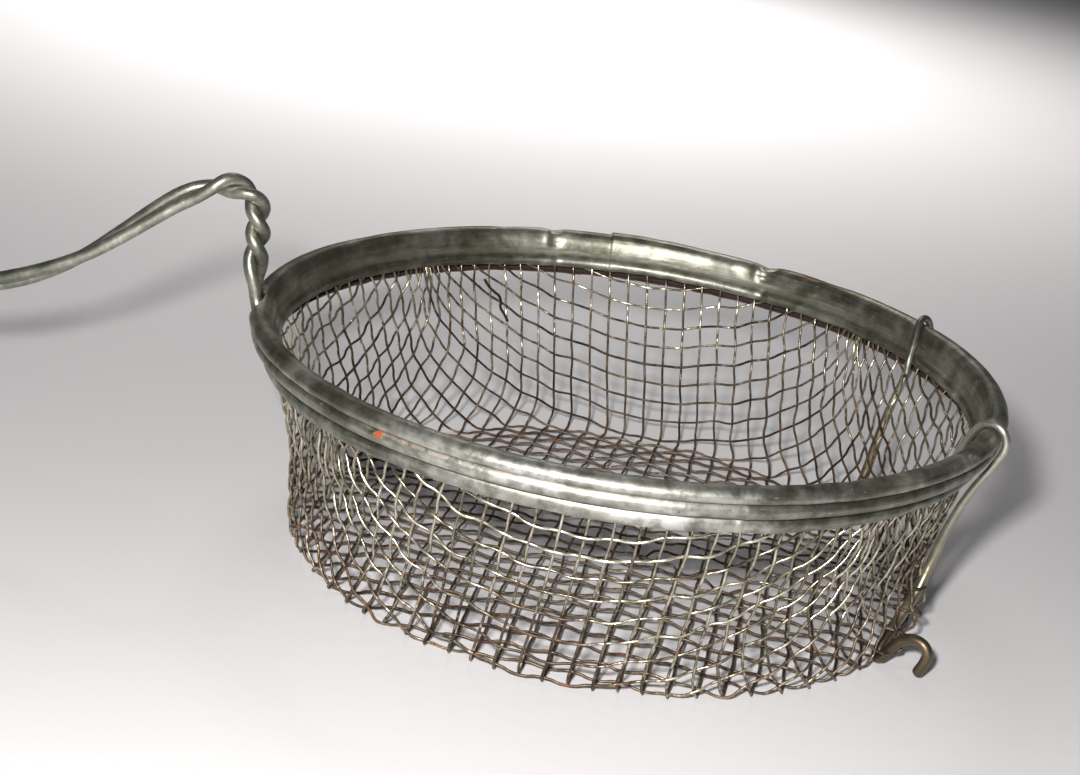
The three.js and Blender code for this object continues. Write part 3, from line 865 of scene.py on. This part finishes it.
# ============================================================== 5. materials
class Shader:
    """A new material with a Principled surface, and short names for its nodes."""

    def __init__(self, name):
        self.material = bpy.data.materials.new(name)
        self.material.use_nodes = True
        self.tree = self.material.node_tree
        self.tree.nodes.clear()
        output = self.tree.nodes.new("ShaderNodeOutputMaterial")
        self.bsdf = self.tree.nodes.new("ShaderNodeBsdfPrincipled")
        self.tree.links.new(self.bsdf.outputs[0], output.inputs[0])

    def put(self, socket, value):
        if isinstance(value, bpy.types.NodeSocket):
            self.tree.links.new(value, socket)
        else:
            socket.default_value = value

    def node(self, kind, inputs, output=0, **settings):
        """Add a node, fill its inputs and return one output."""
        node = self.tree.nodes.new("ShaderNode" + kind)
        for key, value in settings.items():
            setattr(node, key, value)
        for socket, value in inputs.items():
            self.put(node.inputs[socket], value)
        return node.outputs[output]

    def finish(self, color, roughness, normal, metallic=0.0):
        self.put(self.bsdf.inputs["Base Color"], color)
        self.put(self.bsdf.inputs["Metallic"], metallic)
        self.put(self.bsdf.inputs["Roughness"], roughness)
        self.put(self.bsdf.inputs["Normal"], normal)
        return self.material

    def attr(self, name):
        return self.node("Attribute", {}, "Fac", attribute_name=name)

    def coords(self):
        return self.node("TexCoord", {}, "Object")

    def math(self, operation, a, b=0.5):
        return self.node("Math", {0: a, 1: b, 2: 0.5}, operation=operation)

    def add(self, a, b):
        return self.math("ADD", a, b)

    def mul(self, a, b):
        return self.math("MULTIPLY", a, b)

    def most(self, a, b):
        return self.math("MAXIMUM", a, b)

    def weigh(self, *terms):
        """Sum of (value, weight) terms."""
        first = self.mul(*terms[0])
        return first if len(terms) == 1 else self.add(first, self.weigh(*terms[1:]))

    def step(self, value, lo, hi, out_lo=0.0, out_hi=1.0):
        """Smooth step from out_lo at lo to out_hi at hi."""
        inputs = {"Value": value, "From Min": lo, "From Max": hi}
        inputs.update({"To Min": out_lo, "To Max": out_hi})
        return self.node("MapRange", inputs, interpolation_type="SMOOTHSTEP")

    def near(self, value, centre, gone, full):
        """1 within full of centre, fading to 0 at gone from it."""
        away = self.math("ABSOLUTE", self.math("SUBTRACT", value, centre))
        return self.step(away, lo=gone, hi=full)

    def ramp(self, fac, stops):
        """Colour ramp from (position, colour) stops."""
        output = self.node("ValToRGB", {0: fac})
        ramp = output.node.color_ramp
        ramp.interpolation = "LINEAR"
        ramp.elements.remove(ramp.elements[0])
        ramp.elements[0].position = stops[0][0]
        ramp.elements[0].color = (*stops[0][1], 1)
        for position, color in stops[1:]:
            ramp.elements.new(position).color = (*color, 1)
        return output

    def mix(self, fac, a, b):
        """Mix of two colours, each a socket or an RGB triple."""
        a, b = (c if isinstance(c, bpy.types.NodeSocket) else (*c, 1) for c in (a, b))
        return self.node("Mix", {0: fac, 6: a, 7: b}, 2, data_type="RGBA", blend_type="MIX")

    def tint(self, color, mask, amount, to):
        """Move color towards another by amount where the mask is 1."""
        return self.mix(self.mul(mask, amount), color, to)

    def mixf(self, fac, a, b):
        return self.node("Mix", {0: fac, 2: a, 3: b}, data_type="FLOAT")

    def noise(self, vector, scale, detail=3.0, rough=0.55, distortion=0.0):
        inputs = {"Vector": vector, "Scale": scale, "Detail": detail}
        inputs.update({"Roughness": rough, "Distortion": distortion})
        return self.node("TexNoise", inputs, "Fac")

    def scaled(self, vector, x, y):
        return self.node("Mapping", {"Vector": vector, "Scale": (x, y, 1.0)})

    def bump(self, height, strength, distance):
        inputs = {"Height": height, "Strength": strength, "Distance": distance}
        return self.node("Bump", inputs)


RUST_DARK = (0.075, 0.032, 0.018)
RUST_MID = (0.19, 0.075, 0.028)
RUST_BRIGHT = (0.42, 0.13, 0.03)
RUST_RAMP = [(0.32, RUST_DARK), (0.52, RUST_MID), (0.74, RUST_BRIGHT)]
CLOTH_RUST_RAMP = [(0.35, RUST_DARK), (0.55, RUST_MID), (0.75, (0.36, 0.14, 0.045))]
WIRE_RUST_RAMP = [(0.35, RUST_DARK), (0.7, RUST_MID)]
# fresh orange spot, and the brown face towards the cloth, its old rust painted darker as shade:
# each a (dark, light) pair
SPOT_RUST = (0.22, 0.040, 0.012), (0.42, 0.10, 0.026)
BACK_RUST_SHADE = (0.022, 0.010, 0.009), (0.055, 0.024, 0.018)

TIN_RAMP = [
    (0.34, (0.065, 0.066, 0.046)),
    (0.43, (0.155, 0.158, 0.120)),
    (0.50, (0.29, 0.292, 0.240)),
    (0.57, (0.45, 0.45, 0.385)),
    (0.66, (0.70, 0.70, 0.635)),
]
# pale tin tint: a painted highlight at the rim's front
TIN_HIGHLIGHT = (0.88, 0.875, 0.86)
# dark dull tin: tarnish and painted shade at the rim's ends
TIN_TARNISH_SHADE = (0.128, 0.118, 0.080)
TIN_FILM = (0.125, 0.125, 0.085)
TIN_SPECK = (0.04, 0.038, 0.028)
TIN_SCRATCH = (0.82, 0.81, 0.74)
# dark olive: grime and painted shade in the grooves
GROOVE_GRIME_SHADE = (0.075, 0.062, 0.036)
LIP_BROWN = (0.075, 0.040, 0.020)

CLOTH_TINNED_RAMP = [
    (0.30, (0.09, 0.075, 0.052)),
    (0.43, (0.23, 0.20, 0.145)),
    (0.53, (0.45, 0.41, 0.31)),
    (0.66, (0.80, 0.76, 0.64)),
]
CLOTH_BROWN_RAMP = [
    (0.26, (0.018, 0.010, 0.008)),
    (0.44, (0.055, 0.034, 0.023)),
    (0.58, (0.135, 0.098, 0.062)),
    (0.72, (0.30, 0.25, 0.165)),
]
WIRE_RAMP = [
    (0.32, (0.10, 0.104, 0.080)),
    (0.45, (0.22, 0.227, 0.185)),
    (0.55, (0.36, 0.366, 0.31)),
    (0.68, (0.60, 0.60, 0.53)),
]
HOOK_DARK, HOOK_PALE = (0.07, 0.068, 0.058), (0.72, 0.71, 0.62)
HOOK_GOLD_RAMP = [
    (0.3, (0.11, 0.08, 0.045)),
    (0.5, (0.27, 0.21, 0.11)),
    (0.7, (0.50, 0.42, 0.25)),
]
HOOK_TIP = (0.045, 0.030, 0.020), (0.14, 0.10, 0.065)


def tin_material(name, inner_strip):
    mat = Shader(name)
    co = mat.coords()
    sec_u = mat.attr("sec_u")  # mm up the rim's section
    side = mat.attr("side")
    # coordinates that run round the rim and up it, in metres
    x, y, _ = mat.node("SeparateXYZ", {0: mat.coords()}).node.outputs
    angle = mat.math("ARCTAN2", y, x)
    rim_co = mat.node("CombineXYZ", {0: mat.mul(angle, RIM_R * MM), 1: mat.mul(sec_u, MM)})

    def zone(degrees, half, soft):
        """Mask of a stretch of the rim, with soft ends, in degrees."""
        gone, full = math.radians(half + soft), math.radians(half - soft)
        return mat.near(angle, math.radians(degrees), gone=gone, full=full)

    # cloudy oxide, finer mottling, and streaks that run round the rim
    cloud = mat.noise(co, scale=34.0, detail=4.0, rough=0.6)
    mottle = mat.noise(co, scale=170.0, detail=4.0, rough=0.65)
    grain = mat.noise(co, scale=900.0, rough=0.6)
    streak = mat.noise(mat.scaled(rim_co, x=60.0, y=1500.0), scale=1.0, rough=0.6)
    color = mat.ramp(mat.weigh((cloud, 0.45), (mottle, 0.33), (streak, 0.22)), TIN_RAMP)

    # painted highlight at the front; darker tarnish and painted shade at the far left and the
    # right
    front_highlight = mat.mul(
        zone(-96.0, half=24.0, soft=18.0), mat.step(mottle, lo=0.36, hi=0.60, out_lo=0.30)
    )
    color = mat.tint(color, front_highlight, amount=0.56, to=TIN_HIGHLIGHT)
    far_left = zone(142.0, half=40.0, soft=14.0)
    right = zone(8.0, half=42.0, soft=26.0)
    front_right = zone(-52.0, half=20.0, soft=16.0)
    tarnish_and_shade = mat.most(far_left, mat.mul(right, 0.24))
    tarnish_and_shade = mat.most(tarnish_and_shade, mat.mul(front_right, 0.12))
    tarnish_and_shade = mat.mul(tarnish_and_shade, mat.step(cloud, lo=0.30, hi=0.62, out_lo=1.0, out_hi=0.45))
    # the tint below is partly tarnish, partly painted shade where the rim turns away from the
    # light
    color = mat.tint(color, tarnish_and_shade, amount=0.72, to=TIN_TARNISH_SHADE)
    # green-brown film
    film = mat.step(mat.noise(co, scale=60.0, rough=0.6), lo=0.44, hi=0.62)
    color = mat.tint(color, film, amount=0.5, to=TIN_FILM)
    # dark specks and small bright scratches
    cells = mat.node("TexVoronoi", {"Vector": co, "Scale": 700.0}, "Distance")
    specks = mat.mul(
        mat.step(cells, lo=0.20, hi=0.08), mat.step(mat.noise(co, scale=240.0), lo=0.52, hi=0.6)
    )
    color = mat.tint(color, specks, amount=0.75, to=TIN_SPECK)
    scratch = mat.noise(mat.scaled(rim_co, x=380.0, y=2400.0), scale=1.0, detail=2.0, rough=0.5)
    color = mat.tint(color, mat.step(scratch, lo=0.68, hi=0.76), amount=0.7, to=TIN_SCRATCH)
    # grime and painted shade lie in the grooves
    if inner_strip:
        groove = mat.near(sec_u, 7.2, gone=1.7, full=0.3)
        lip = mat.step(mat.attr("along"), lo=0.95, hi=0.985)
        low = mat.step(sec_u, lo=3.9, hi=2.8)
    else:
        groove = mat.near(sec_u, 6.6, gone=1.0, full=0.15)
        lip = mat.step(sec_u, lo=11.0, hi=11.9)
        low = mat.step(sec_u, lo=1.9, hi=1.1)
    groove_grime_and_shade = mat.mul(groove, mat.step(mottle, lo=0.3, hi=0.62, out_lo=0.45))
    color = mat.tint(color, groove_grime_and_shade, amount=0.62, to=GROOVE_GRIME_SHADE)
    color = mat.tint(color, lip, amount=0.85, to=LIP_BROWN)

    # the bare bottom lip and the joint edges rust first
    patches = mat.noise(co, scale=85.0, detail=5.0, rough=0.68, distortion=0.4)
    edges = mat.most(mat.mul(low, 0.55), mat.mul(lip, 0.6))
    rust = mat.step(mat.add(patches, mat.mul(edges, 0.30)), lo=0.66, hi=0.78)
    rust_noise = mat.noise(co, scale=420.0, detail=4.0, rough=0.65)
    rust_color = mat.ramp(rust_noise, RUST_RAMP)
    if inner_strip:
        # a stretch along the top of the roll has rusted through its tin
        worn = mat.mul(zone(56.0, half=10.0, soft=3.0), mat.step(sec_u, lo=14.0, hi=14.8))
        rust = mat.most(rust, mat.mul(worn, mat.step(mottle, lo=0.38, hi=0.5)))
        # weight 0: this strip's faces rust alike
        back_face = mat.mul(mat.math("SUBTRACT", 1.0, side), 0.0)
    else:
        # one spot of orange rust, and its trail along the strip's upper part
        trail = mat.mul(zone(-118.5, half=11.5, soft=2.5), mat.step(sec_u, lo=10.6, hi=11.4))
        ragged = mat.noise(co, scale=480.0, detail=4.0, rough=0.7)
        spot = mat.mul(
            zone(-128.8, half=0.85, soft=1.15), mat.near(sec_u, 10.7, gone=1.25, full=0.1)
        )
        spot = mat.step(mat.add(spot, mat.mul(ragged, 1.1)), lo=1.02, hi=1.16)
        trail = mat.mul(trail, mat.step(mottle, lo=0.42, hi=0.60, out_hi=0.6))
        rust = mat.most(mat.most(rust, trail), spot)
        rust_color = mat.mix(spot, rust_color, mat.mix(grain, *SPOT_RUST))
        # the back of the strip, towards the cloth, is brown with old rust, painted darker as the
        # shade it lies in
        back_face = mat.step(side, lo=0.5, hi=0.6)
    rust = mat.most(rust, mat.mul(back_face, 0.93))
    rust_color = mat.mix(back_face, rust_color, mat.mix(grain, *BACK_RUST_SHADE))
    color = mat.mix(rust, color, rust_color)

    rough = mat.add(0.27, mat.weigh((mottle, 0.26), (cloud, 0.10)))
    rough = mat.add(rough, mat.mul(groove_grime_and_shade, 0.22))
    # relief: soft dents and streaks, pits shallower under the painted front highlight, and
    # rust's crust
    dents = mat.noise(co, scale=260.0, detail=4.0, rough=0.6)
    height = mat.weigh((dents, 0.6), (streak, 0.25))
    pits = mat.noise(co, scale=1150.0, rough=0.6)
    height = mat.add(height, mat.mul(pits, mat.mixf(front_highlight, 0.34, 0.16)))
    crust = mat.noise(co, scale=1500.0, detail=2.0, rough=0.6)
    height = mat.add(height, mat.mul(rust, crust))
    return mat.finish(
        color=color,
        metallic=mat.mixf(rust, mat.mixf(groove_grime_and_shade, 0.95, 0.6), 0.05),
        roughness=mat.mixf(rust, rough, 0.85),
        normal=mat.bump(height, strength=0.6, distance=0.00022),
    )


def wire_noises(mat, co):
    """Fine, middling and broad noise shared by the wire materials."""
    return (
        mat.noise(co, scale=620.0, detail=4.0, rough=0.65),
        mat.noise(co, scale=150.0, detail=4.0, rough=0.6),
        mat.noise(co, scale=26.0, rough=0.6),
    )


def cloth_material(name):
    mat = Shader(name)
    co = mat.coords()
    height = mat.node("SeparateXYZ", {0: co}, output=2)
    fine, middling, broad = wire_noises(mat, co)
    blend = mat.weigh((fine, 0.38), (middling, 0.42), (mat.attr("tone"), 0.18))
    # tin is left on the outside and near the rim, worn off inside and low
    keep = mat.add(
        mat.step(height, lo=0.010, hi=0.050, out_lo=-0.41, out_hi=0.29),
        mat.mul(mat.attr("outer"), 0.24),
    )
    patches = mat.step(mat.weigh((broad, 0.6), (fine, 0.4)), lo=0.30, hi=0.70)
    wear = mat.step(mat.add(keep, patches), lo=0.62, hi=0.18)
    color = mat.mix(wear, mat.ramp(blend, CLOTH_TINNED_RAMP), mat.ramp(blend, CLOTH_BROWN_RAMP))
    # more rust low down
    spots = mat.noise(co, scale=210.0, detail=4.0, rough=0.7)
    low = mat.step(height, lo=0.03, hi=0.0, out_hi=0.10)
    rust = mat.step(mat.add(spots, low), lo=0.64, hi=0.74)
    relief = mat.add(fine, mat.mul(rust, 0.6))
    return mat.finish(
        color=mat.mix(rust, color, mat.ramp(fine, CLOTH_RUST_RAMP)),
        metallic=mat.mixf(rust, mat.mixf(wear, 0.92, 0.62), 0.1),
        roughness=mat.mixf(rust, mat.mixf(wear, 0.22, 0.42), 0.8),
        normal=mat.bump(relief, strength=0.5, distance=0.0001),
    )


def hook_color(mat, color, middling, dark):
    """Paler or duller at the top, golden lower down and dark at the foot's tip."""
    foot = mat.attr("foot")
    color = mat.mix(dark, color, HOOK_DARK)
    color = mat.mix(max(0.35 - dark, 0.0), color, HOOK_PALE)
    gold = mat.step(mat.add(foot, mat.mul(middling, 0.3)), lo=0.42, hi=0.80)
    color = mat.tint(color, gold, amount=0.75, to=mat.ramp(middling, HOOK_GOLD_RAMP))
    tip = mat.step(foot, lo=0.66, hi=0.80)
    return mat.tint(color, tip, amount=0.85, to=mat.mix(middling, *HOOK_TIP))


def drawn_wire_material(name, is_hook, dark=0.0):
    """Handle or hook wire; dark dulls a hook's upper part."""
    mat = Shader(name)
    co = mat.coords()
    fine, middling, broad = wire_noises(mat, co)
    color = mat.ramp(mat.weigh((fine, 0.3), (middling, 0.4), (broad, 0.3)), WIRE_RAMP)
    if is_hook:
        color = hook_color(mat, color, middling, dark)
    rust = mat.step(mat.noise(co, scale=120.0, detail=5.0, rough=0.7), lo=0.69, hi=0.79)
    color = mat.tint(color, rust, amount=0.8, to=mat.ramp(fine, WIRE_RUST_RAMP))
    # drawing lines along the wire, and pits
    around = mat.noise(co, scale=900.0) if is_hook else mat.attr("round")
    line_co = mat.node(
        "CombineXYZ", {0: mat.mul(mat.attr("arc"), 30.0), 1: mat.mul(around, 14.0)}
    )
    lines = mat.noise(line_co, scale=1.0, rough=0.6)
    relief = mat.weigh((fine, 0.5), (lines, 0.4))
    return mat.finish(
        color=color,
        metallic=mat.mixf(rust, 0.9, 0.2),
        roughness=mat.mixf(rust, mat.add(0.27, mat.mul(middling, 0.22)), 0.75),
        normal=mat.bump(relief, strength=0.4, distance=0.0002),
    )


def give(ob, material, slot, *nodes):
    """Material, and what the frame should know of the object."""
    ob.data.materials.append(material)
    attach(ob, "root")
    if nodes:
        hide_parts(*nodes)


cloth_mat = cloth_material("aged_wire_cloth")
handle_mat = drawn_wire_material("aged_handle_wire", is_hook=False)
hook_mat = drawn_wire_material("aged_hook_wire", is_hook=True)
far_hook_mat = drawn_wire_material("dull_hook_wire", is_hook=True, dark=0.28)
inner_mat = tin_material("aged_tin_inner", inner_strip=True)
outer_mat = tin_material("aged_tin_outer", inner_strip=False)

give(warp, cloth_mat, "wire_cloth", "wire_cloth_basket")
give(weft, cloth_mat, "wire_cloth")
give(inner, inner_mat, "inner_tin", "inner_rim_band")
give(outer, outer_mat, "outer_tin", "outer_rim_band")
give(handle, handle_mat, "handle_wire", "handle_and_hoop_wire")
give(near_hook, hook_mat, "hook_wire", "near_drain_hook")
give(far_hook, far_hook_mat, "hook_wire", "far_drain_hook")


# ====================================================== 6. floor, light, camera
FLOOR_HALF, FLOOR_COUNT = 3000, 24  # half its width, and vertices along a side
FLOOR_DROP = 0.05  # below the basket
FLOOR_COLORS = (0.70, 0.695, 0.72), (0.76, 0.755, 0.775)


def floor_material():
    mat = Shader("pale_floor")
    co = mat.coords()
    relief = mat.noise(co, scale=120.0, detail=4.0, rough=0.6)
    return mat.finish(
        color=mat.mix(mat.noise(co, scale=5.0, rough=0.5), *FLOOR_COLORS),
        roughness=0.75,
        normal=mat.bump(relief, strength=0.15, distance=0.0006),
    )


def stage_floor():
    n = FLOOR_COUNT
    places = np.linspace(-FLOOR_HALF, FLOOR_HALF, n)
    x, y = np.meshgrid(places, places, indexing="ij")
    verts = np.stack([x, y, np.full_like(x, -RAISE - FLOOR_DROP)], -1).reshape(-1, 3)
    corner = (np.arange(n - 1)[:, None] * n + np.arange(n - 1)[None]).ravel()
    quads = np.stack([corner, corner + n, corner + n + 1, corner + 1], -1)
    ob = mesh_object("floor", verts, quads)
    ob.data.materials.append(floor_material())


stage_floor()

# The camera looks along +Y and down, rolled and turned a little about the rim's centre.
CAM_PITCH, CAM_ROLL = math.radians(20.109), math.radians(7.856)
CAM_TURN = math.radians(-4.0)
# mm back from the rim's centre, left of it and below it, in the camera's own axes
CAM_BACK, CAM_LEFT, CAM_BELOW = 539.7732, 25.6838, 14.9036
CAM_SENSOR, CAM_LENS = 36.0, 63.33333


def camera_axes():
    """The camera's right, up and forward directions."""
    forward = np.array([0, math.cos(CAM_PITCH), -math.sin(CAM_PITCH)])
    right = np.array([1.0, 0, 0])
    up = np.cross(right, forward)
    cos, sin = math.cos(CAM_ROLL), math.sin(CAM_ROLL)
    axes = cos * right + sin * up, -sin * right + cos * up, forward
    cos, sin = math.cos(CAM_TURN), math.sin(CAM_TURN)
    turn = np.array([[cos, -sin, 0], [sin, cos, 0], [0, 0, 1]])
    return [turn @ axis for axis in axes]


cam_right, cam_up, cam_forward = camera_axes()
cam_at = -(CAM_BACK * cam_forward + CAM_LEFT * cam_right + CAM_BELOW * cam_up)
cam_at = (cam_at + np.array([0, 0, RIM_TOP])) * MM


def add_camera():
    data = bpy.data.cameras.new("camera")
    data.sensor_fit = "HORIZONTAL"
    data.sensor_width = CAM_SENSOR
    data.lens = CAM_LENS
    data.clip_start = 0.01
    data.clip_end = 50.0
    camera = bpy.data.objects.new("camera", data)
    matrix = np.eye(4)
    matrix[:3] = np.column_stack([cam_right, cam_up, -cam_forward, cam_at])
    camera.matrix_world = Matrix(matrix.tolist())
    bpy.context.scene.collection.objects.link(camera)
    bpy.context.scene.camera = camera


def area_light(name, at, aim, size, power, color):
    """A disk light; returns its data."""
    light = bpy.data.lights.new(name, "AREA")
    light.shape = "DISK"
    light.size = size
    light.energy = power
    light.color = color
    ob = bpy.data.objects.new(name, light)
    ob.location = at
    ob.rotation_euler = (Vector(aim) - Vector(at)).to_track_quat("-Z", "Y").to_euler()
    bpy.context.scene.collection.objects.link(ob)
    return light


add_camera()
# The main light stands close to the camera, a little above and to its left.
area_light(
    "key",
    at=tuple(cam_at + (cam_right * -0.040 + cam_up * 0.057)),
    aim=(0, 0, 0.03),
    size=0.040,
    power=4.3,
    color=(1.0, 0.975, 0.94),
)
# A narrow light falls on the floor behind the basket.
background = area_light(
    "background",
    at=(-0.05, 1.1, 1.05),
    aim=(-0.05, 0.88, 0),
    size=0.6,
    power=4.9,
    color=(1.0, 0.965, 0.93),
)
background.spread = math.radians(72)

WORLD_COLOR, WORLD_STRENGTH = (0.88, 0.88, 0.92, 1), 0.09
world = bpy.data.worlds.new("studio")
world.use_nodes = True
sky = world.node_tree.nodes["Background"]
sky.inputs[0].default_value = WORLD_COLOR
sky.inputs[1].default_value = WORLD_STRENGTH
bpy.context.scene.world = world
bpy.context.scene.view_settings.view_transform = "Standard"
